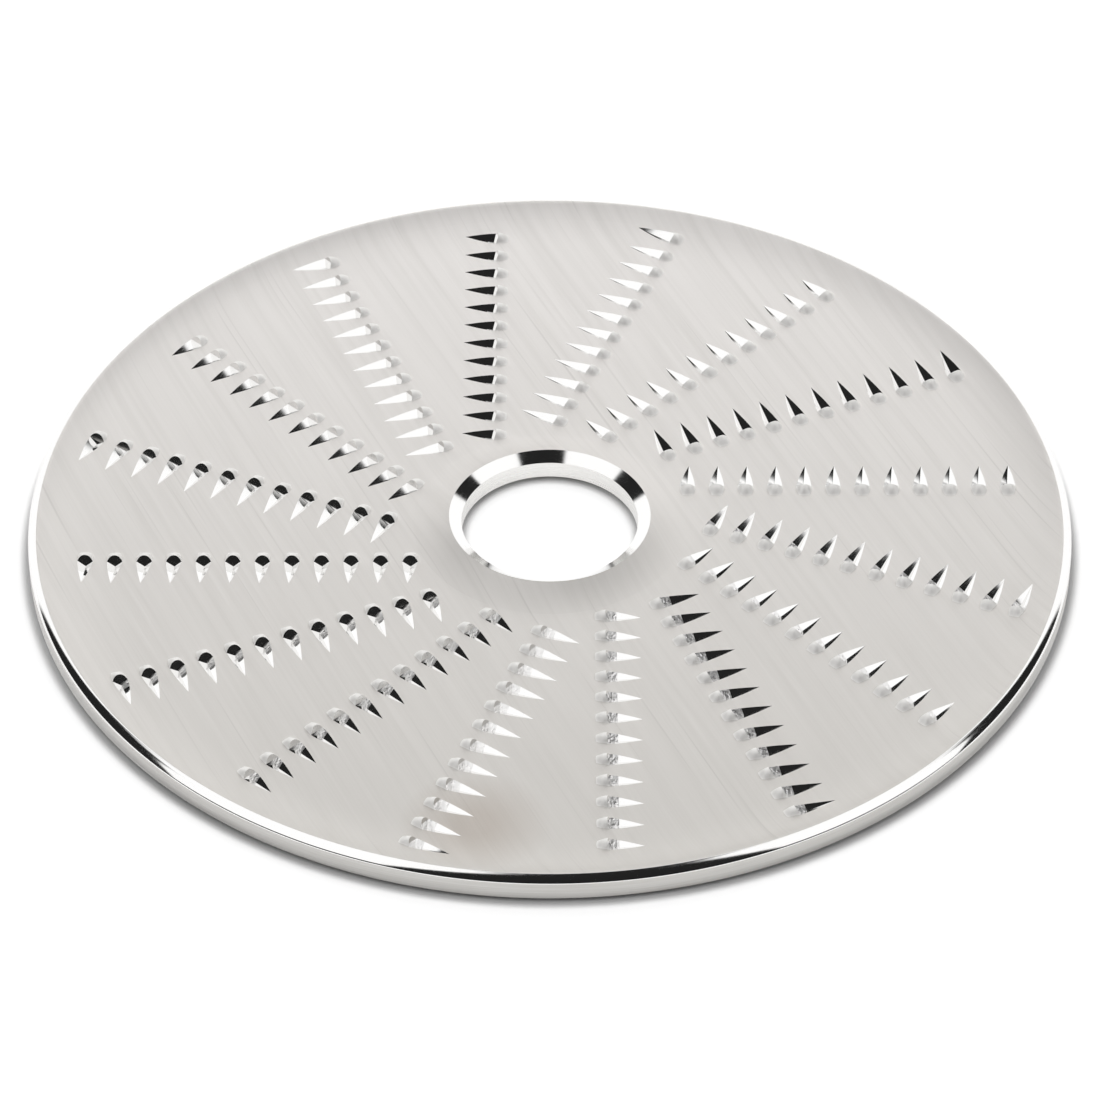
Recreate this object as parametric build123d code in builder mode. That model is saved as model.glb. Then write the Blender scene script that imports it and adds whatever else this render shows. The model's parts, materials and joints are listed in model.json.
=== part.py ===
"""Grating disc of a food processor: one stainless steel piece with rows of punched teeth.

The disc lies flat with its axis on Z and stands on the lower edge of its rim at z = 0.
"""
import os
from math import atan2, copysign, cos, hypot, radians, sin, sqrt

from build123d import *

# Rim
outer_diameter = 185.0
rim_height = 5.2        # from the surface it lies on to the crest of the rim
rim_round_width = 1.66  # polished rounding from the crest out to the skirt
rim_round_drop = 1.06   # how far the rounding falls before the skirt's edge
rim_round_steps = 2     # bevels that make up the rounding
rim_wall = 1.5          # thickness of the skirt
foot_lift = 0.8         # the skirt's outside ends this far above the surface it lies on
foot_inset = 0.8        # the foot below the skirt stands this far back
rim_cover = 1.6         # thickness of metal left under the crest, inside the skirt

# Hub
bore_diameter = 31.4
countersink_width = 2.2
countersink_depth = 1.25
hub_wall = 4.8          # thickness of the collar round the bore
hub_depth = 4.45        # from the crest of the hub to the collar's lower face

# Dished field that carries the teeth
dish_depth = 2.15       # how far the field lies below the crests of rim and hub
hub_slope = 7.0         # width of the hollow slope between the hub and the field
hub_slope_steps = 2     # cones that make up the hollow slope
rim_slope = 4.1         # width of the plain slope between the field and the rim
sheet = 1.0             # thickness of the field

# Rows of teeth
row_count = 16
tooth_pitch = 5.215
row_stagger = 2.35      # every second row starts this much further out
lip_offset = 10.15      # a row's cutting lips stand this far to one side of its radius
tooth_edge_gap = 0.5    # flat metal kept between a tooth and the slopes

# One tooth: a hood that a punch has thrown up, with the punch's pointed groove in front of its lip
tooth_half_width = 1.4
hood_length = 2.25
hood_height = 1.1
hood_lean = 30.0        # degrees that the hood's sides lean inwards
lip_lean = 25.0         # degrees that the wall below the cutting lip leans back
hood_root = 0.3         # how far the hood reaches down into the sheet
groove_length = 5.65
groove_depth = 0.72
groove_rise = 0.25      # the groove's cut is carried this share above the field

# Places that follow from the sizes above
outer_radius = outer_diameter / 2
inner_radius = outer_radius - rim_wall
crest_radius = outer_radius - rim_round_width
foot_radius = outer_radius - foot_inset
bore_radius = bore_diameter / 2
hub_crest_radius = bore_radius + countersink_width
hub_outer_radius = bore_radius + hub_wall
field_inner_radius = hub_crest_radius + hub_slope
field_outer_radius = crest_radius - rim_slope
field_top = rim_height - dish_depth
field_bottom = field_top - sheet
hub_bottom = rim_height - hub_depth

first_tooth = sqrt(field_inner_radius**2 - lip_offset**2) + tooth_half_width + tooth_edge_gap
last_tooth = sqrt(field_outer_radius**2 - lip_offset**2) - tooth_half_width - tooth_edge_gap


def level_arc(start, end, steps):
    """Corners along an arc that leaves its start level and ends at its end."""
    run = end[0] - start[0]
    rise = end[1] - start[1]
    radius = hypot(run, rise) ** 2 / (2 * abs(rise))
    turns = [2 * atan2(abs(rise), abs(run)) * i / steps for i in range(steps + 1)]
    return [
        (start[0] + copysign(radius * sin(t), run), start[1] + copysign(radius * (1 - cos(t)), rise))
        for t in turns
    ]


def row_places(row):
    """Places of one row's teeth: out along the row's radius, each groove pointing the same way round."""
    first = first_tooth + (row % 2) * row_stagger
    count = int((last_tooth - first) / tooth_pitch) + 1
    turn = Location((0, 0, field_top), (0, 0, row * 360 / row_count))
    return [turn * Location((first + tooth_pitch * i, lip_offset, 0), (0, 0, 90)) for i in range(count)]


def oval_outline(length, half_width, corners):
    """Corners of a stretched polygon with one corner straight ahead along X."""
    angles = [radians(360 * i / corners) for i in range(corners)]
    return [(length * cos(a), half_width * sin(a)) for a in angles]


# Hood of one tooth: half of an eight-sided button, cut off at its lip, with the field at z = 0
lip_plane = Plane((0, 0, 0), x_dir=(0, 1, 0), z_dir=(cos(radians(lip_lean)), 0, sin(radians(lip_lean))))
with BuildPart() as hood:
    with BuildSketch():
        Polygon(*oval_outline(hood_length, tooth_half_width, 8), align=None)
    extrude(amount=hood_height, taper=hood_lean)
    extrude(hood.faces().sort_by(Axis.Z)[0], amount=hood_root)
    split(bisect_by=lip_plane, keep=Keep.BOTTOM)

# Groove of one tooth: a V that starts at the wall below the lip and runs out at its tip
with BuildPart() as groove:
    with BuildSketch(Plane.YZ):
        groove_corner = tooth_half_width * (1 + groove_rise)
        groove_top = groove_depth * groove_rise
        Polygon((-groove_corner, groove_top), (groove_corner, groove_top), (0, -groove_depth), align=None)
    extrude(amount=groove_length * (1 + 2 * groove_rise), dir=(groove_length, 0, groove_depth))
    split(bisect_by=lip_plane, keep=Keep.TOP)

# The disc: the turned section first, then its teeth
hub_rise = level_arc((field_inner_radius, field_top), (hub_crest_radius, rim_height), hub_slope_steps)
rim_fall = level_arc((crest_radius, rim_height), (outer_radius, rim_height - rim_round_drop), rim_round_steps)
tooth_places = [place for row in range(row_count) for place in row_places(row)]

with BuildPart() as grating_disc:
    with BuildSketch(Plane.XZ):
        with BuildLine():
            Polyline(
                (bore_radius, hub_bottom),
                (bore_radius, rim_height - countersink_depth),
                *reversed(hub_rise),
                (field_outer_radius, field_top),
                *rim_fall,
                (outer_radius, foot_lift),
                (foot_radius, foot_lift),
                (foot_radius, 0),
                (inner_radius, 0),
                (inner_radius, rim_height - rim_cover),
                (field_outer_radius + sheet, field_bottom),
                (hub_outer_radius, field_bottom),
                (hub_outer_radius, hub_bottom),
                close=True,
            )
        make_face()
    revolve(axis=Axis.Z)
    with Locations(*tooth_places):
        add(hood.part)
    with Locations(*tooth_places):
        add(groove.part, mode=Mode.SUBTRACT)

grating_disc.part.label = "grating_disc"

os.makedirs("parts", exist_ok=True)
export_step(grating_disc.part, "parts/grating_disc.step")
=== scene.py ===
# %% [markdown]
# # A grating disc for a food processor
# The disc is one piece of stainless steel, about as wide as a small plate. Its toothed field lies a
# little lower than the hub and the rim. The imported model gives the frame that everything here has to fit.

# %% Load the frame
import json
import math

import bpy
from mathutils import Matrix, Vector
from mathutils.geometry import delaunay_2d_cdt

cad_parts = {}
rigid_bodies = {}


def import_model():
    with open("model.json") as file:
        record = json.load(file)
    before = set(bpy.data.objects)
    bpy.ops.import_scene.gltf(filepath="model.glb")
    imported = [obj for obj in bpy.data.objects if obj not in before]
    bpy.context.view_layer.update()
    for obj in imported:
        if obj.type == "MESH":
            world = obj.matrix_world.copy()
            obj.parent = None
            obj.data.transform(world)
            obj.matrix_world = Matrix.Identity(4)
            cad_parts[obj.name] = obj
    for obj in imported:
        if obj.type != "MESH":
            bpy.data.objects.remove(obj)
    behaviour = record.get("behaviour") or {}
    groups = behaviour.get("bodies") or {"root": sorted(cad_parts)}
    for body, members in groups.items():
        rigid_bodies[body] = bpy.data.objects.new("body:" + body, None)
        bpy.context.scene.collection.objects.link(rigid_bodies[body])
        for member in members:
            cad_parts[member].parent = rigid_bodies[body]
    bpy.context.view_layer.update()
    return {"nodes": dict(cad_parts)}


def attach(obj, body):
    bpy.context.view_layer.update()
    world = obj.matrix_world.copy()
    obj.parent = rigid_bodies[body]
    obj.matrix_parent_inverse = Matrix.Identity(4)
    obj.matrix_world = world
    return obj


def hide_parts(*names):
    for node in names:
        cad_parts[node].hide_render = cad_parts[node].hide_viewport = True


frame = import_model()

mm = 0.001
print("nodes:", sorted(frame["nodes"]))

# %% [markdown]
# ## The turned body
# Rim, hub and slopes are round about one axis, so their section can be drawn once and spun. Blender's
# Screw modifier would do it, but the toothed field has to join the slopes point for point, so the rings
# are made in code. All heights count from the table, in millimetres, and are turned into metres when a
# point is added.

# %% Sizes of the turned body
rim_radius = 92.5
rim_top = 5.2
round_width = 1.66
round_drop = 1.06
crest_radius = rim_radius - round_width
skirt_inside = 91.0
skirt_lift = 0.8
foot_radius = 91.7
bore_radius = 15.7
sink_width = 2.2
sink_depth = 1.25
hub_crest = bore_radius + sink_width
hub_bottom = 0.75
collar_radius = 20.5
field_top = 3.05
field_bottom = 2.05
field_inside = 24.2
field_outside = 87.1
ring_steps = 360
print("dish depth", round(rim_top - field_top, 3), "mm")

# %% [markdown]
# The field isn't a flat floor with a step round it. It was pressed, so it turns up gently before it
# reaches the hub and the rim. One function gives that rise at any radius, and everything on the field is
# lifted by it: the slopes, the flat metal and the teeth.

# %% How the field turns up
rim_bend = 78.0
rim_power = 3.0
hub_bend = 25.6
hub_power = 1.7


def turned_up(radius):
    """Height above the flat field at a radius."""
    depth = rim_top - field_top
    if radius > rim_bend:
        return depth * ((radius - rim_bend) / (crest_radius - rim_bend)) ** rim_power
    if radius < hub_bend:
        return depth * ((hub_bend - radius) / (hub_bend - hub_crest)) ** hub_power
    return 0.0


print("rise at the outermost tooth", round(turned_up(85.0), 3), "mm")

# %% [markdown]
# The mesh grows in one list of points and one list of faces. Each face carries the number of its finish,
# and a set of edges is kept sharp, so that a pressed crease stays crisp while domes and roundings are
# shaded smooth.

# %% Lists that the mesh grows in
BRUSHED, RUBBED, PRESSED, POLISHED, SATIN, TURNED, INSIDE, FOOT = range(8)
points = []
faces = []
finishes = []
sharp_edges = set()


def add_point(x, y, z):
    points.append((x * mm, y * mm, z * mm))
    return len(points) - 1


def add_face(corners, finish):
    faces.append(tuple(corners))
    finishes.append(finish)


def keep_sharp(a, b):
    sharp_edges.add((min(a, b), max(a, b)))


# %% [markdown]
# A ring is a circle of points at one radius and height. Two rings are joined by a band of four-sided
# faces. The order of the points decides which way a face looks, and every band here is drawn with the
# metal on its right when one walks along the section.

# %% Rings and bands
def add_ring(radius, height):
    turn = 2 * math.pi / ring_steps
    return [add_point(radius * math.cos(i * turn), radius * math.sin(i * turn), height)
            for i in range(ring_steps)]


def sharpen_ring(ring):
    for a, b in zip(ring, ring[1:] + ring[:1]):
        keep_sharp(a, b)


def add_bands(rings, finish):
    for first, second in zip(rings, rings[1:]):
        for i in range(ring_steps):
            j = (i + 1) % ring_steps
            add_face((first[i], second[i], second[j], first[j]), finish)


# %% [markdown]
# Between the field and the crests of hub and rim the sheet slopes up. Both slopes are stacks of rings
# that follow the rise above, close enough together for smooth shading to hide the steps.

# %% Hub slope and rim slope
slope_steps = 8


def slope_rings(start, end):
    """Rings up a slope, from the field to a crest."""
    radii = [start + (end - start) * i / slope_steps for i in range(slope_steps + 1)]
    return [add_ring(r, field_top + turned_up(r)) for r in radii]


hub_rings = slope_rings(field_inside, hub_crest)
add_bands(hub_rings[::-1], BRUSHED)
rim_rings = slope_rings(field_outside, crest_radius)
add_bands(rim_rings, BRUSHED)
print("slopes:", len(hub_rings) + len(rim_rings), "rings")

# %% [markdown]
# The rounding is an arc that could be a bevel on a plain edge. A bevel would also round the crest, which
# has to stay level, so the arc is worked out from its width and its drop. It stops a little early, and
# two small rings make the soft edge to the skirt.

# %% Polished rounding
round_radius = (round_width ** 2 + round_drop ** 2) / (2 * round_drop)
round_sweep = 2 * math.atan2(round_drop, round_width)
round_steps = 9
round_share = 0.94
edge_drop = 0.06
edge_inset = 0.02
soft_edge = 0.08
round_rings = [rim_rings[-1]]
for step in range(1, round_steps + 1):
    angle = round_sweep * round_share * step / round_steps
    round_rings.append(add_ring(crest_radius + round_radius * math.sin(angle),
                                rim_top - round_radius * (1 - math.cos(angle))))
skirt_top = rim_top - round_drop - edge_drop
round_rings.append(add_ring(rim_radius - edge_inset, skirt_top + soft_edge))
round_rings.append(add_ring(rim_radius, skirt_top))
add_bands(round_rings[:2], BRUSHED)
add_bands(round_rings[1:], POLISHED)
print("rounding falls to", round(math.degrees(round_sweep), 1), "degrees")

# %% [markdown]
# The skirt hangs down from the rounding. Its foot stands back a little, which leaves a dark line above
# the table. The underside can't be seen on the table, so it is kept plain: the sheet at an even
# thickness, and a hollow behind the skirt.

# %% Skirt, foot and underside
sheet = 1.0
hollow_top = 3.6
skirt_rings = [round_rings[-1], add_ring(rim_radius, skirt_lift + soft_edge),
               add_ring(rim_radius - soft_edge, skirt_lift)]
add_bands(skirt_rings, SATIN)
foot_rings = [skirt_rings[-1], add_ring(foot_radius, skirt_lift), add_ring(foot_radius, 0.0),
              add_ring(skirt_inside, 0.0), add_ring(skirt_inside, hollow_top)]
add_bands(foot_rings[:4], FOOT)
under_radii = (field_outside + sheet, 86.0, 83.5, 81.0, rim_bend)
under_rings = [foot_rings[-1]] + [add_ring(r, field_bottom + turned_up(r)) for r in under_radii]
under_rings.append(add_ring(collar_radius, field_bottom))
add_bands([foot_rings[3]] + under_rings, INSIDE)
for ring in skirt_rings[:1] + foot_rings + under_rings[1:2]:
    sharpen_ring(ring)
print("skirt", round(skirt_top - skirt_lift, 2), "mm high")

# %% [markdown]
# A thick collar carries the bore, and a polished countersink takes the head of the hub that drives the
# disc. These were cut on a lathe, so all their edges are kept sharp.

# %% Collar, bore and countersink
collar_rings = [under_rings[-1], add_ring(collar_radius, hub_bottom), add_ring(bore_radius, hub_bottom)]
add_bands(collar_rings, INSIDE)
bore_rings = [collar_rings[-1], add_ring(bore_radius, rim_top - sink_depth)]
add_bands(bore_rings, TURNED)
sink_rings = [bore_rings[-1], hub_rings[-1]]
add_bands(sink_rings, POLISHED)
for ring in collar_rings + bore_rings + sink_rings:
    sharpen_ring(ring)
print("turned body:", len(faces), "faces")

# %% [markdown]
# ## One tooth
# The teeth are those of a rasp. A pointed punch comes down at a slant: it ploughs a groove with a V
# section and throws the metal up into a small hood behind it. Nothing is cut through. Where the punch
# stopped, it left a flat bright wall, which leans back from the groove's keel to the hood's sharp lip.
# Subdivision surfaces would round off those creases, so each tooth is a small grid whose lines follow the
# form. In a tooth's own frame x runs towards the groove's tip, y across, z up from the field, and the
# wall crosses the field at x = 0.

# %% The hood's form
hood_length = 2.2
hood_half_width = 1.38
hood_height = 1.04
hood_fullness = (3.0, 2.4)
hood_blend = 0.12
hood_blend_run = 0.9
skirt_reach = 1.33


def hood_rise(x, y):
    """Height of the hood: a dome that runs out into the field with a soft hollow, which starts at the lip."""
    value = 1 - abs(x / hood_length) ** hood_fullness[0] - abs(y / hood_half_width) ** hood_fullness[1]
    reach = (1 - value) ** (1 / hood_fullness[1])
    blend = hood_blend * min(1.0, -x / hood_blend_run)
    dome = 0.5 * (value + math.sqrt(value * value + 4 * blend * blend))
    fade = max(0.0, min(1.0, (skirt_reach - reach) / (skirt_reach - 1)))
    return hood_height * dome * fade * fade * (3 - 2 * fade)


print("hood", round(hood_rise(0, 0), 2), "mm high")

# %% [markdown]
# The grid is worked out once, as a small list of points and faces in the tooth's own frame, and then set
# into the field at each place. The hood's rows shrink towards its back, and its first row is the lip,
# where the leaning wall cuts the hood off.

# %% Grid of the hood
tooth_points = []
tooth_faces = []
tooth_sharp = []
mouth_half_width = hood_half_width
hood_side = hood_half_width * skirt_reach
hood_back = hood_length * skirt_reach
half_columns = (hood_side, 1.6, mouth_half_width, 1.12, 0.76, 0.38)
columns = [-y for y in half_columns] + [0.0] + [y for y in reversed(half_columns)]
hood_rows = 9
brushed_rows = 4
settle_rounds = 8
wall_lean = math.tan(math.radians(25.0))


def tooth_point(x, y, z):
    tooth_points.append((x, y, z))
    return len(tooth_points) - 1


def tooth_line(places):
    return [tooth_point(*place) for place in places]


def tooth_band(first, second, finish):
    for a, b, c, d in zip(first, first[1:], second[1:], second):
        tooth_faces.append(((a, b, c, d), finish))


def lip_place(y):
    """Where the leaning wall cuts the hood."""
    z = 0.0
    for _ in range(settle_rounds):
        z = hood_rise(-wall_lean * z, y)
    return -wall_lean * z, y, z


lip_row = tooth_line([lip_place(y) if abs(y) < mouth_half_width else (0.0, y, hood_rise(0.0, y))
                      for y in columns])
hood_grid = [lip_row]
for row in range(1, hood_rows):
    angle = math.pi / 2 * row / hood_rows
    line = []
    for column, y in enumerate(columns):
        x_lip = tooth_points[lip_row[column]][0]
        x = x_lip - (hood_back + x_lip) * math.sin(angle)
        y = y * math.cos(angle)
        line.append((x, y, hood_rise(x, y)))
    hood_grid.append(tooth_line(line))
for row, (first, second) in enumerate(zip(hood_grid, hood_grid[1:])):
    dome = RUBBED if row < hood_rows - brushed_rows else BRUSHED
    tooth_band(first[:3], second[:3], BRUSHED)
    tooth_band(first[2:-2], second[2:-2], dome)
    tooth_band(first[-3:], second[-3:], BRUSHED)
hood_end = tooth_point(-hood_back, 0, 0)
for a, b in zip(hood_grid[-1], hood_grid[-1][1:]):
    tooth_faces.append(((hood_end, a, b), BRUSHED))
print("hood grid:", len(tooth_points), "points")

# %% [markdown]
# Seen from above the groove is a slim leaf that bends a little outwards, because the flank towards the
# hub closes in faster than the other. Both flanks keep their slope across, so the V gets shallower as the
# leaf gets narrower, and its keel rises to the tip. At its start the V is cut off by the wall.

# %% Grid of the groove
groove_length = 5.75
tip_side = -0.39
outer_across, outer_power = 0.579, 1.5
inner_across, inner_power = 0.677, 1.3
groove_margin = 0.32
tip_gap = 0.03
groove_stations = (0.8, 1.5, 2.3, 3.1, 3.9, 4.7, groove_length - tip_gap)


def groove_section(x):
    """Outer edge, keel, inner edge and depth of the groove at a place along it."""
    share = x / groove_length
    outer_edge = -mouth_half_width + (mouth_half_width + tip_side) * share ** outer_power
    inner_edge = mouth_half_width - (mouth_half_width - tip_side) * share ** inner_power
    keel = (outer_across * outer_edge + inner_across * inner_edge) / (outer_across + inner_across)
    return outer_edge, keel, inner_edge, outer_across * (keel - outer_edge)


wall_foot = 0.0
for _ in range(settle_rounds):
    wall_foot = wall_lean * groove_section(wall_foot)[3]
_, foot_keel, _, foot_depth = groove_section(wall_foot)
mouth_row = lip_row[:3]
for y in columns[3:-3]:
    inward = 1 - abs(y) / mouth_half_width
    mouth_row.append(tooth_point(wall_foot * inward, y + foot_keel * inward, -foot_depth * inward))
mouth_row += lip_row[-3:]
print("wall's foot at", round(wall_foot, 2), "mm, groove", round(foot_depth, 2), "mm deep there")

# %% [markdown]
# The flanks were wiped by the punch and are bright. Only the flank towards the hub is duller near the
# wall, where the punch stuttered before it stopped. The keel and both edges are kept sharp.

# %% Flanks of the groove
dull_stations = 2
groove_grid = [mouth_row]
for x in groove_stations:
    y_outer, y_keel, y_inner, depth = groove_section(x)
    line = []
    for y in columns:
        share = abs(y) / mouth_half_width
        y_edge = y_outer if y < 0 else y_inner
        outward = (abs(y) - mouth_half_width) / (hood_side - mouth_half_width)
        if outward >= 0:
            line.append((x, y_edge + math.copysign(groove_margin * outward, y), 0.0))
        else:
            line.append((x, y_keel + (y_edge - y_keel) * share, -depth * (1 - share)))
    groove_grid.append(tooth_line(line))
middle = len(columns) // 2
for number, (first, second) in enumerate(zip(groove_grid, groove_grid[1:])):
    tooth_band(second[:3], first[:3], BRUSHED)
    tooth_band(second[-3:], first[-3:], BRUSHED)
    tooth_band(second[2:middle + 1], first[2:middle + 1], POLISHED)
    tooth_band(second[middle:-2], first[middle:-2], PRESSED if number < dull_stations else POLISHED)
    for column in (2, middle, len(columns) - 3):
        tooth_sharp.append((first[column], second[column]))
groove_end = tooth_point(groove_length + groove_margin, tip_side, 0)
for a, b in zip(groove_grid[-1], groove_grid[-1][1:]):
    tooth_faces.append(((groove_end, b, a), BRUSHED))
tooth_sharp += list(zip(groove_grid[-1][2:-3], groove_grid[-1][3:-2]))
print("groove:", len(groove_grid), "lines of", len(columns), "points")

# %% [markdown]
# The wall joins the lip to the start of the groove. It is one flat mirror, so it needs no more points
# than its two edges have. The tooth's outermost points, taken in order, are the border that the field
# will meet.

# %% The wall, and the tooth's border
lip_edge = lip_row[2:-2]
mouth_edge = mouth_row[2:-2]
for a, b, c, d in zip(lip_edge, mouth_edge, mouth_edge[1:], lip_edge[1:]):
    tooth_faces.append((tuple(dict.fromkeys((a, b, c, d))), POLISHED))
    tooth_sharp += [(a, d), (b, c)]
border = [line[0] for line in hood_grid] + [hood_end] + [line[-1] for line in reversed(hood_grid)]
border += [line[-1] for line in groove_grid[1:]] + [groove_end]
border += [line[0] for line in reversed(groove_grid[1:])]
print("tooth:", len(tooth_points), "points,", len(tooth_faces), "faces,", len(border), "points on its border")

# %% [markdown]
# ## The toothed field
# The teeth stand in sixteen rows at equal angles, twelve in a row. Every second row starts further out,
# and its grooves are longer: the punch went on further there. Each tooth's border becomes a hole in the
# field, and the metal between is filled with a constrained Delaunay triangulation, which meets every
# border point for point. A boolean cut would leave ragged edges.

# %% Set the teeth
row_count = 16
teeth_in_row = 12
tooth_pitch = 5.215
first_tooth = 24.64
row_stagger = 2.35
lip_offset = 10.15
groove_stretch = (1.0, 1.2)

borders = []
tooth_spots = []
for row in range(row_count):
    turn = Matrix.Rotation(2 * math.pi * row / row_count, 2)
    for tooth in range(teeth_in_row):
        out = first_tooth + (row % 2) * row_stagger + tooth * tooth_pitch
        tooth_spots.append((turn, out))
        index = []
        for x, y, z in tooth_points:
            along = wall_foot + (x - wall_foot) * groove_stretch[row % 2] if x > wall_foot else x
            place = turn @ Vector((out - y, lip_offset + along))
            index.append(add_point(place.x, place.y, field_top + z + turned_up(place.length)))
        for corners, finish in tooth_faces:
            add_face([index[c] for c in corners], finish)
        for a, b in tooth_sharp:
            keep_sharp(index[a], index[b])
        borders.append([index[i] for i in border])
print("teeth:", len(borders), "faces so far:", len(faces))

# %% [markdown]
# Where the field turns up towards the rim, long triangles from tooth to tooth would show as facets. Free
# points on a few rings carry the bend there. A point that would fall in a tooth, or too near to one, is
# left out.

# %% Free points on the bend
bend_radii = (25.2, 79.6, 81.2, 82.6, 83.8, 84.9, 85.8, 86.5)
bend_steps = 240
hub_bend_steps = 80
clear_side = 2.05
clear_back = -3.2
clear_front = 7.3


def clear_of_teeth(flat):
    """Whether a free point would lie well outside every tooth."""
    for turn, out in tooth_spots:
        local = turn.transposed() @ flat
        if abs(out - local.x) < clear_side and clear_back < local.y - lip_offset < clear_front:
            return False
    return True


bend_spots = []
for radius in bend_radii:
    steps = bend_steps if radius > rim_bend else hub_bend_steps
    for i in range(steps):
        flat = Vector((radius, 0.0))
        flat.rotate(Matrix.Rotation(2 * math.pi * (i + 0.5) / steps, 2))
        if clear_of_teeth(flat):
            bend_spots.append(flat)
bend_points = [add_point(flat.x, flat.y, field_top + turned_up(flat.length)) for flat in bend_spots]
print("free points:", len(bend_points))

# %% [markdown]
# The triangulation also fills the holes and the bore. A triangle with all its corners on one border may
# lie inside that tooth or outside it, in a hollow of the border, so its middle is tested before it is
# thrown away.

# %% Fill the metal between the teeth
same_place = 1e-7


def inside_loop(spot, loop):
    """Whether a flat place lies inside a closed line."""
    inside = False
    for a, b in zip(loop, loop[1:] + loop[:1]):
        if (a.y > spot.y) != (b.y > spot.y):
            if spot.x < a.x + (spot.y - a.y) / (b.y - a.y) * (b.x - a.x):
                inside = not inside
    return inside


def fill_field(inner, outer, holes, free, finish):
    """Triangles between two rings and round the holes; returns how many were made."""
    loops = [inner, outer] + holes
    index = [i for loop in loops for i in loop] + free
    flat = [Vector((points[i][0] / mm, points[i][1] / mm)) for i in index]
    owner = [number for number, loop in enumerate(loops) for _ in loop] + [-1] * len(free)
    links = []
    outlines = []
    for loop in loops:
        start = sum(len(outline) for outline in outlines)
        links += [(start + i, start + (i + 1) % len(loop)) for i in range(len(loop))]
        outlines.append(flat[start:start + len(loop)])
        sharpen_ring(loop)
    _, _, triangles, origin, _, _ = delaunay_2d_cdt(flat, links, [], 0, same_place)
    made = 0
    for triangle in triangles:
        corners = [origin[c][0] for c in triangle]
        owners = {owner[c] for c in corners}
        if len(owners) == 1 and owners != {1} and owners != {-1}:
            number = owners.pop()
            centre = (flat[corners[0]] + flat[corners[1]] + flat[corners[2]]) / 3
            if number == 0 or inside_loop(centre, outlines[number]):
                continue
        add_face([index[c] for c in corners], finish)
        made += 1
    return made


made = fill_field(hub_rings[0], rim_rings[0], borders, bend_points, BRUSHED)
print("field triangles:", made)

# %% [markdown]
# The finished mesh also gets a flat map of the brushing: u runs across the brush lines and v along them.
# The finish below takes its direction from that map, because a brushed face scatters light mostly across
# its lines.

# %% Write the mesh
brush_x, brush_y = 0.42, -0.91
brush_along = Vector((brush_x, brush_y)).normalized()
brush_across = Vector((-brush_along.y, brush_along.x))
map_scale, map_middle = 5, 0.5
mesh = bpy.data.meshes.new("grating_disc_steel")
mesh.from_pydata(points, [], faces)
disc = bpy.data.objects.new("grating_disc_steel", mesh)
bpy.context.scene.collection.objects.link(disc)
mesh.polygons.foreach_set("material_index", finishes)
mesh.polygons.foreach_set("use_smooth", [True] * len(faces))
sharp = mesh.attributes.new("sharp_edge", "BOOLEAN", "EDGE")
sharp.data.foreach_set("value", [tuple(sorted(edge.vertices)) in sharp_edges for edge in mesh.edges])
brush_map = mesh.uv_layers.new(name="brushing")
map_values = []
for loop in mesh.loops:
    flat = Vector(points[loop.vertex_index][:2])
    map_values += [way.dot(flat) * map_scale + map_middle for way in (brush_across, brush_along)]
brush_map.data.foreach_set("uv", map_values)
mesh.update()
triangle_count = sum(len(face) - 2 for face in faces)
print("disc:", len(points), "points,", triangle_count, "triangles")

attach(disc, "root")
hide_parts("grating_disc")

# %% [markdown]
# ## Finishes
# The face of the disc is brushed steel, ground by a belt in one straight direction. Noise squeezed along
# that direction gives the fine lines, as a little change in colour, roughness and bump. The punch leaves
# the hoods dull and the grooves bright, the rim and the countersink are polished, the skirt is satin, and
# the bore keeps the marks of the turning tool. All of them are drawn by nodes from a place on the disc,
# with no pictures.

# %% Helpers for finishes
def new_finish(name):
    material = bpy.data.materials.new(name)
    material.use_nodes = True
    nodes = material.node_tree.nodes
    print("finish:", name)
    return material, nodes, material.node_tree.links, nodes["Principled BSDF"]


def steel_finish(name):
    material, nodes, links, shader = new_finish(name)
    shader.inputs["Metallic"].default_value = 1.0
    return material, nodes, links, shader


def stretched_noise(nodes, links, angle, scale, detail, name):
    """Noise drawn out into lines at an angle in the plane of the disc; scale is along, across and up."""
    place = nodes.new("ShaderNodeTexCoord")
    turn = nodes.new("ShaderNodeMapping")
    turn.inputs["Rotation"].default_value = (0, 0, angle)
    size = nodes.new("ShaderNodeMapping")
    size.inputs["Scale"].default_value = scale
    noise = nodes.new("ShaderNodeTexNoise")
    noise.name = name
    noise.inputs["Scale"].default_value = 1.0
    noise.inputs["Detail"].default_value = detail
    links.new(place.outputs["Object"], turn.inputs["Vector"])
    links.new(turn.outputs["Vector"], size.inputs["Vector"])
    links.new(size.outputs["Vector"], noise.inputs["Vector"])
    return noise


def spread(nodes, links, source, low, high, to_low, to_high):
    node = nodes.new("ShaderNodeMapRange")
    node.inputs["From Min"].default_value = low
    node.inputs["From Max"].default_value = high
    node.inputs["To Min"].default_value = to_low
    node.inputs["To Max"].default_value = to_high
    links.new(source, node.inputs["Value"])
    return node.outputs["Result"]


noise_low, noise_high = 0.3, 0.7


def from_noise(nodes, links, noise, to_low, to_high):
    """A value that follows a noise over the part of its range that it mostly keeps to."""
    return spread(nodes, links, noise.outputs["Fac"], noise_low, noise_high, to_low, to_high)


def mixed_colour(nodes, links, share, first, second):
    """A colour that goes from the first to the second; the first may come from another node."""
    node = nodes.new("ShaderNodeMix")
    node.data_type = "RGBA"
    links.new(share, node.inputs["Factor"])
    if isinstance(first, tuple):
        node.inputs["A"].default_value = first
    else:
        links.new(first, node.inputs["A"])
    node.inputs["B"].default_value = second
    return node.outputs["Result"]
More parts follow.
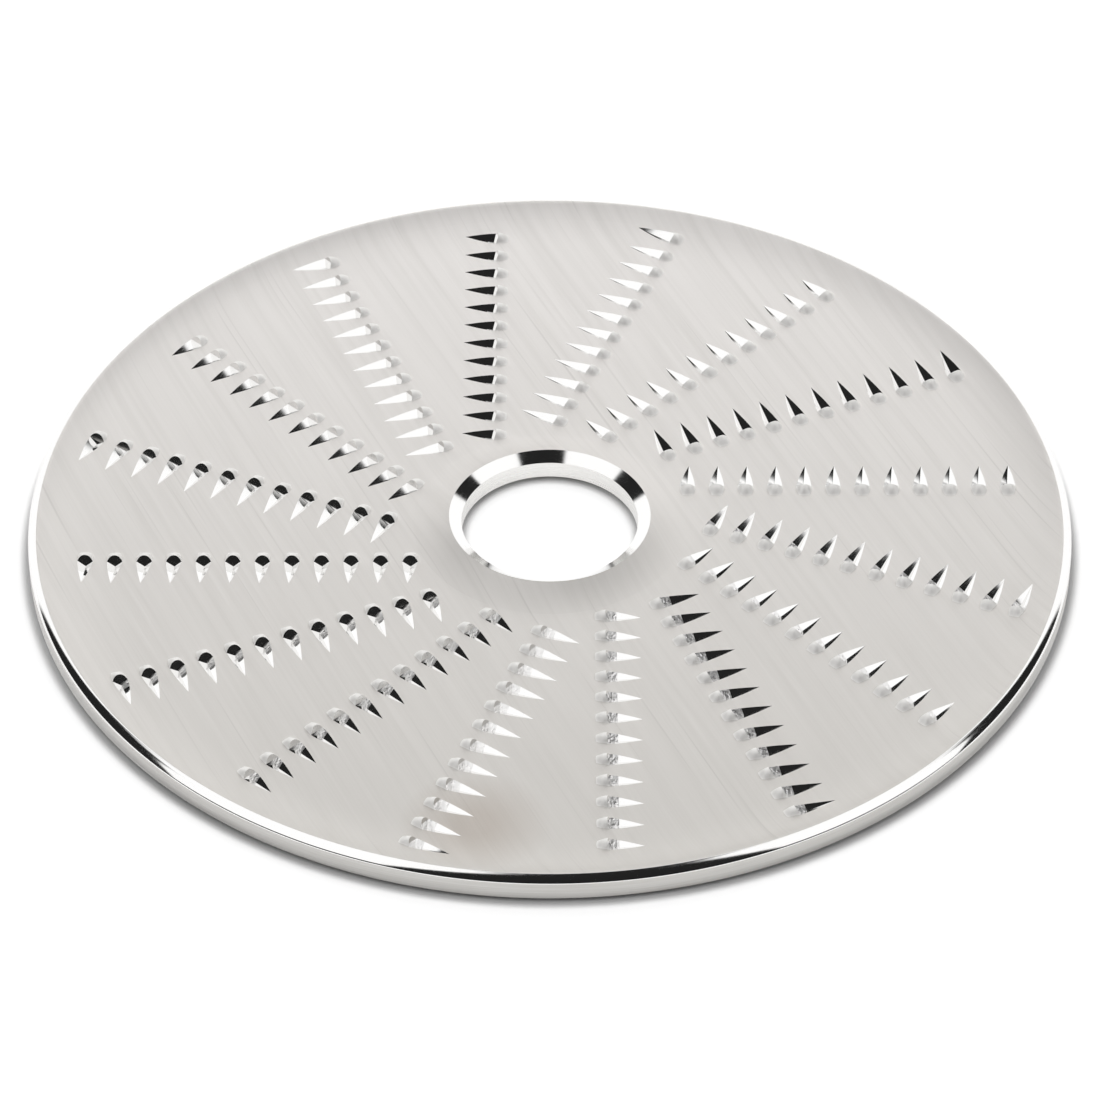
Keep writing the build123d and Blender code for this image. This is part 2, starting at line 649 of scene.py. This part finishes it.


# %% [markdown]
# The brushed face shows three sizes of line: a fine grain all over, broader bands, and a few scratches. Its
# colour gets a little lighter from the near side to the far side. That gradient is painted light: it stands
# for an uneven light, which a lamp behind the disc gave less well. Near the rim, on the near side, the colour
# turns darker and browner in one soft spot. Anisotropy along the map of the brushing draws the highlights out
# across the lines.

# %% Brushed face
near_side, far_side = -0.085, 0.085
brown_spot_centre = (-0.0125, -0.0770, 0.003)
brown_spot_inside, brown_spot_outside = 0.003, 0.013
brush_angle = math.atan2(-brush_y, brush_x)
brushed, nodes, links, shader = steel_finish("brushed_face")
shader.inputs["Anisotropic"].default_value = 0.6
tangent = nodes.new("ShaderNodeTangent")
tangent.direction_type = "UV_MAP"
tangent.uv_map = "brushing"
links.new(tangent.outputs["Tangent"], shader.inputs["Tangent"])
fine_lines = stretched_noise(nodes, links, brush_angle, (45, 3600, 100), 3.0, "fine_lines")
broad_lines = stretched_noise(nodes, links, brush_angle, (9, 700, 60), 4.0, "broad_lines")
scratches = stretched_noise(nodes, links, brush_angle, (16, 1500, 60), 1.0, "scratches")
split = nodes.new("ShaderNodeSeparateXYZ")
links.new(nodes["Texture Coordinate"].outputs["Object"], split.inputs["Vector"])
colour = mixed_colour(nodes, links, spread(nodes, links, split.outputs["Y"], near_side, far_side, 0.0, 1.0),
                      (0.745, 0.725, 0.695, 1), (0.905, 0.882, 0.862, 1))
colour = mixed_colour(nodes, links, spread(nodes, links, broad_lines.outputs["Fac"], 0.45, 0.75, 0.0, 0.24),
                      colour, (0.68, 0.66, 0.63, 1))
colour = mixed_colour(nodes, links, spread(nodes, links, scratches.outputs["Fac"], 0.68, 0.80, 0.0, 0.20),
                      colour, (0.45, 0.435, 0.41, 1))
# One soft spot near the rim, on the near side, turns darker and browner.
brown_spot_distance = nodes.new("ShaderNodeVectorMath")
brown_spot_distance.operation = "DISTANCE"
links.new(nodes["Texture Coordinate"].outputs["Object"], brown_spot_distance.inputs[0])
brown_spot_distance.inputs[1].default_value = brown_spot_centre
brown_spot_mask = spread(nodes, links, brown_spot_distance.outputs["Value"], brown_spot_inside, brown_spot_outside, 0.45, 0.0)
colour = mixed_colour(nodes, links, brown_spot_mask, colour, (0.50, 0.43, 0.37, 1))
links.new(colour, shader.inputs["Base Color"])
links.new(from_noise(nodes, links, fine_lines, 0.56, 0.64), shader.inputs["Roughness"])
bump = nodes.new("ShaderNodeBump")
bump.inputs["Strength"].default_value = 0.05
bump.inputs["Distance"].default_value = 0.00003
links.new(fine_lines.outputs["Fac"], bump.inputs["Height"])
links.new(bump.outputs["Normal"], shader.inputs["Normal"])

# %% [markdown]
# The hoods were stretched as they rose, which takes the brush lines off and leaves a pale, dull skin. A
# rough metal with a fine cloudy noise does that, and it has no direction.

# %% Rubbed hoods
rubbed, nodes, links, shader = steel_finish("rubbed_hoods")
wear = stretched_noise(nodes, links, 0.0, (700, 700, 700), 3.0, "wear")
links.new(mixed_colour(nodes, links, from_noise(nodes, links, wear, 0.0, 1.0),
                       (0.95, 0.94, 0.92, 1), (0.98, 0.97, 0.955, 1)), shader.inputs["Base Color"])
links.new(from_noise(nodes, links, wear, 0.64, 0.72), shader.inputs["Roughness"])

# %% [markdown]
# Beside the wall the punch stuttered and left ripples too small to model on nearly two hundred teeth.
# Bump from a fine noise breaks up the reflections there.

# %% Pressed flanks with fine ripples from the punch
pressed, nodes, links, shader = steel_finish("pressed_flanks")
shader.inputs["Base Color"].default_value = (0.92, 0.91, 0.90, 1)
ripple = stretched_noise(nodes, links, 0.0, (2000, 2000, 2000), 1.0, "punch_ripple")
links.new(from_noise(nodes, links, ripple, 0.26, 0.40), shader.inputs["Roughness"])
bump = nodes.new("ShaderNodeBump")
bump.inputs["Strength"].default_value = 0.8
bump.inputs["Distance"].default_value = 0.00012
links.new(ripple.outputs["Fac"], bump.inputs["Height"])
links.new(bump.outputs["Normal"], shader.inputs["Normal"])

# %% [markdown]
# Rim, countersink, walls and flanks are close to mirrors. They get their look from the room, so their
# colour is even, and only the roughness changes a little with the marks of turning.

# %% Polished rim, countersink, walls and flanks
polished, nodes, links, shader = steel_finish("polished_steel")
shader.inputs["Base Color"].default_value = (0.88, 0.875, 0.865, 1)
turning = stretched_noise(nodes, links, 0.0, (900, 900, 9000), 2.0, "turning_marks")
links.new(from_noise(nodes, links, turning, 0.05, 0.10), shader.inputs["Roughness"])

# %% [markdown]
# The skirt is rubbed by hands and by the machine's bowl, so its marks run round it. Noise with a very
# small size in height gives level lines.

# %% Satin skirt
satin, nodes, links, shader = steel_finish("satin_steel")
rub = stretched_noise(nodes, links, 0.0, (60, 60, 3200), 3.0, "rub_marks")
links.new(mixed_colour(nodes, links, from_noise(nodes, links, rub, 0.0, 1.0),
                       (0.56, 0.545, 0.52, 1), (0.66, 0.65, 0.63, 1)), shader.inputs["Base Color"])
links.new(from_noise(nodes, links, rub, 0.28, 0.42), shader.inputs["Roughness"])

# %% [markdown]
# The bore's wall keeps fine rings from the turning tool. They are drawn as the skirt's marks are, but
# finer and only in the roughness.

# %% Turned bore
turned, nodes, links, shader = steel_finish("turned_bore")
shader.inputs["Base Color"].default_value = (0.86, 0.85, 0.83, 1)
tool_marks = stretched_noise(nodes, links, 0.0, (60, 60, 6000), 2.0, "tool_marks")
links.new(from_noise(nodes, links, tool_marks, 0.24, 0.34), shader.inputs["Roughness"])

# %% [markdown]
# Below, the sheet is as it came from the rolling mill: greyer than the face, with a straight grain.

# %% Dull underside
inside, nodes, links, shader = steel_finish("dull_underside")
grain = stretched_noise(nodes, links, brush_angle, (60, 2600, 300), 3.0, "rolled_grain")
links.new(mixed_colour(nodes, links, from_noise(nodes, links, grain, 0.0, 1.0),
                       (0.58, 0.57, 0.55, 1), (0.64, 0.63, 0.61, 1)), shader.inputs["Base Color"])
links.new(from_noise(nodes, links, grain, 0.34, 0.46), shader.inputs["Roughness"])

# %% [markdown]
# The narrow foot stays in shadow, and its near-black colour is painted shade for that dark line. It is
# mottled rather than brushed.

# %% Dark foot under the skirt, with painted shade
foot, nodes, links, shader = steel_finish("foot_painted_shade")
# Painted shade: the foot's near-black colour, mottled by this noise, which also sets its roughness.
foot_shade_mottle = stretched_noise(nodes, links, 0.0, (300, 300, 900), 3.0, "foot_shade_mottle")
links.new(mixed_colour(nodes, links, from_noise(nodes, links, foot_shade_mottle, 0.0, 1.0),
                       (0.05, 0.047, 0.045, 1), (0.10, 0.095, 0.09, 1)), shader.inputs["Base Color"])
links.new(from_noise(nodes, links, foot_shade_mottle, 0.5, 0.7), shader.inputs["Roughness"])

for finish in (brushed, rubbed, pressed, polished, satin, turned, inside, foot):
    disc.data.materials.append(finish)
print("finishes:", [material.name for material in disc.data.materials])

# %% [markdown]
# ## Table, room and camera
# The disc lies on a white table. The table's own colour nearly reaches white under the room's light, and
# a little glow that only the camera and mirrors see brings it all the way. Near the disc the glow fades
# out, so that the contact shadow stays.

# %% White table
table_mesh = bpy.data.meshes.new("table")
half = 3.0
table_corners = [(-half, -half, 0), (half, -half, 0), (half, half, 0), (-half, half, 0)]
table_mesh.from_pydata(table_corners, [], [(0, 1, 2, 3)])
table = bpy.data.objects.new("table", table_mesh)
bpy.context.scene.collection.objects.link(table)
white, nodes, links, shader = new_finish("white_table")
shader.inputs["Base Color"].default_value = (0.92, 0.92, 0.92, 1)
shader.inputs["Roughness"].default_value = 0.9
shader.inputs["Specular IOR Level"].default_value = 0.0
table.data.materials.append(white)

# %% [markdown]
# Shader maths is easier to read with two small helpers: one for a calculation, one for a soft step from 0
# to 1.

# %% Helpers for shader maths
def plug(links, value, socket):
    if isinstance(value, (int, float)):
        socket.default_value = value
    else:
        links.new(value, socket)


def work(tree, operation, a, b=0.0):
    node = tree.nodes.new("ShaderNodeMath")
    node.operation = operation
    plug(tree.links, a, node.inputs[0])
    plug(tree.links, b, node.inputs[1])
    return node.outputs[0]


def rises(tree, value, low, high):
    """From 0 below low to 1 above high, softly."""
    node = tree.nodes.new("ShaderNodeMapRange")
    node.interpolation_type = "SMOOTHSTEP"
    plug(tree.links, value, node.inputs["Value"])
    node.inputs["From Min"].default_value = low
    node.inputs["From Max"].default_value = high
    return node.outputs["Result"]


# %% [markdown]
# The glow starts just outside the rim and just inside the bore's edge, so it never lights the contact
# shadow. Mirrors see it a little closer to the disc than the camera does, because the rim reflects the
# table right beside it.

# %% Glow of the table away from the disc
rim_glow = (0.0928, 0.0946)
bore_glow = (0.0140, 0.0158)
rim_mirror = (0.0915, 0.0925)
bore_mirror = (0.0155, 0.0160)
glow_strength = 0.5
tree = white.node_tree
place = nodes.new("ShaderNodeTexCoord")
split = nodes.new("ShaderNodeSeparateXYZ")
links.new(place.outputs["Object"], split.inputs["Vector"])
flat_x, flat_y, _ = split.outputs
from_axis = work(tree, "SQRT", work(tree, "ADD", work(tree, "MULTIPLY", flat_x, flat_x),
                                    work(tree, "MULTIPLY", flat_y, flat_y)))
outside_rim = rises(tree, from_axis, *rim_glow)
in_bore = work(tree, "SUBTRACT", 1.0, rises(tree, from_axis, *bore_glow))
path = nodes.new("ShaderNodeLightPath")
open_floor = work(tree, "MAXIMUM", rises(tree, from_axis, *rim_mirror),
                  work(tree, "SUBTRACT", 1.0, rises(tree, from_axis, *bore_mirror)))
mirrored = work(tree, "MULTIPLY", path.outputs["Is Glossy Ray"], open_floor)
clear_place = work(tree, "MAXIMUM", outside_rim, in_bore)
seen = work(tree, "MAXIMUM", work(tree, "MULTIPLY", path.outputs["Is Camera Ray"], clear_place), mirrored)
glow = work(tree, "MULTIPLY", seen, glow_strength)
shader.inputs["Emission Color"].default_value = (1, 1, 1, 1)
links.new(glow, shader.inputs["Emission Strength"])

# %% [markdown]
# Polished metal is only as good as what it mirrors. The room has two large soft lights, one each side,
# and a pale wall behind. It is dark where a studio is dark: between the two lights overhead and towards
# the camera, and low down beside the wall. The world's colour by direction gives all of this without any
# lamp showing.

# %% Soft lights, wall and dark gaps by direction
world = bpy.data.worlds.new("studio")
bpy.context.scene.world = world
world.use_nodes = True
tree = world.node_tree
background = tree.nodes["Background"]
ray = tree.nodes.new("ShaderNodeTexCoord")
split = tree.nodes.new("ShaderNodeSeparateXYZ")
tree.links.new(ray.outputs["Generated"], split.inputs["Vector"])
side_way, back_way, up_way = split.outputs


def bow(along, start, slope, bend):
    """start + slope * along + bend * along squared"""
    curve = work(tree, "MULTIPLY", work(tree, "ADD", work(tree, "MULTIPLY", along, bend), slope), along)
    return work(tree, "ADD", curve, start)


edge = 0.025
gap_end, gap_end_edge = 0.48, 0.05
left_edge = bow(back_way, -0.099, 0.27, -0.30)
right_edge = bow(back_way, 0.25, -0.42, 0.33)
gap = work(tree, "MULTIPLY", rises(tree, work(tree, "SUBTRACT", side_way, left_edge), -edge, edge),
           rises(tree, work(tree, "SUBTRACT", right_edge, side_way), -edge, edge))
before_end = rises(tree, work(tree, "SUBTRACT", gap_end, back_way), -gap_end_edge, gap_end_edge)
gap = work(tree, "MULTIPLY", gap, before_end)
print("gap between the lights ends at", gap_end)

# %% [markdown]
# The lights don't reach the floor. Their lower edges climb towards the wall and then stay level, and
# below them the room is dark, which gives the polished rim its dark blocks.

# %% Low dark corners beside the wall, and the dark strip under the lamps
lamp_foot_top = 0.795
corner_end = 0.54
darkness = 0.985


def lamp_foot(start, steep):
    """Height of a light's lower edge, by how far back one looks."""
    lifted = work(tree, "MAXIMUM", work(tree, "ADD", back_way, start), 0.0)
    return work(tree, "MINIMUM", work(tree, "MULTIPLY", work(tree, "SQRT", lifted), steep), lamp_foot_top)


right_side = rises(tree, side_way, -0.02, 0.02)
left_foot = work(tree, "MULTIPLY", lamp_foot(0.235, 1.20), work(tree, "SUBTRACT", 1.0, right_side))
right_foot = work(tree, "MULTIPLY", lamp_foot(0.09, 1.23), right_side)
strip = work(tree, "ADD", work(tree, "MULTIPLY", work(tree, "MINIMUM", back_way, 0.0), -0.28), 0.10)
foot_line = work(tree, "MAXIMUM", work(tree, "ADD", left_foot, right_foot), strip)
corners = work(tree, "MULTIPLY", rises(tree, work(tree, "SUBTRACT", foot_line, up_way), -edge, edge),
               rises(tree, work(tree, "SUBTRACT", corner_end, back_way), -edge, edge))

dark = work(tree, "MAXIMUM", gap, corners)
light = work(tree, "SUBTRACT", 1.0, work(tree, "MULTIPLY", dark, darkness))
straight = tree.nodes.new("ShaderNodeLightPath").outputs["Is Camera Ray"]
room_level = 1.15
room = work(tree, "MULTIPLY", light, room_level)
level = work(tree, "ADD", work(tree, "MULTIPLY", room, work(tree, "SUBTRACT", 1.0, straight)), straight)
background.inputs["Color"].default_value = (1, 1, 1, 1)
tree.links.new(level, background.inputs["Strength"])
print("room level", room_level)

# %% [markdown]
# The camera stands well back with a long lens, a little above forty degrees, as for a catalogue picture.
# The small shift puts the disc where it sits in the frame.

# %% Camera
camera_height = math.radians(40.79)
camera_distance = 1.0336
camera_data = bpy.data.cameras.new("camera")
camera_data.lens = 190.5
camera_data.sensor_width = 36.0
camera_data.shift_x = 0.0002
camera_data.shift_y = -0.0321
camera_data.clip_end = 20.0
camera = bpy.data.objects.new("camera", camera_data)
bpy.context.scene.collection.objects.link(camera)
target = Vector((0, 0, rim_top * mm))
camera.location = target + camera_distance * Vector((0, -math.cos(camera_height), math.sin(camera_height)))
camera.rotation_euler = (math.pi / 2 - camera_height, 0, 0)
bpy.context.scene.camera = camera
bpy.context.scene.view_settings.view_transform = "Standard"
print("camera", round(camera_distance, 3), "m away,", round(math.degrees(camera_height), 2), "degrees up")
